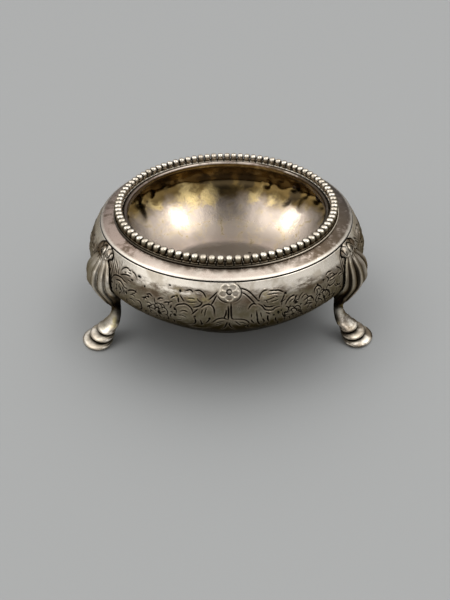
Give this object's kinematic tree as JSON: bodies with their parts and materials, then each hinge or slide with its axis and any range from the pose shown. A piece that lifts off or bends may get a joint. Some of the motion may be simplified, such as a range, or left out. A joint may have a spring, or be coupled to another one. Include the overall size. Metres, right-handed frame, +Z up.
{
  "type": "salt cellar",
  "caption": "Open table salt: round raised silver bowl with gilt inside, chased foliage round the belly and a beaded mouth, on cast hoof feet.",
  "frame": {"origin": "on the bowl's vertical axis, at the level of the surface that the feet stand on", "axes": "+Z up along the bowl's axis; -Y is the front, midway between two feet; the third foot is at +Y"},
  "size_m": [0.0752, 0.0784, 0.0307],
  "materials": {
    "bowl_silver": "worn silver with brown tarnish, gilt inside",
    "wire_silver": "worn silver wire",
    "bead_silver": "polished silver beads, black tarnish between them",
    "foot_silver": "cast silver, bright on the raised parts and dark in the grooves"
  },
  "bodies": {
    "root": {"bowl": "bowl_silver", "seat_wire": "wire_silver", "bead_border": "bead_silver", "leg_front_left": "foot_silver", "leg_front_right": "foot_silver", "leg_back": "foot_silver"}
  },
  "joints": []
}
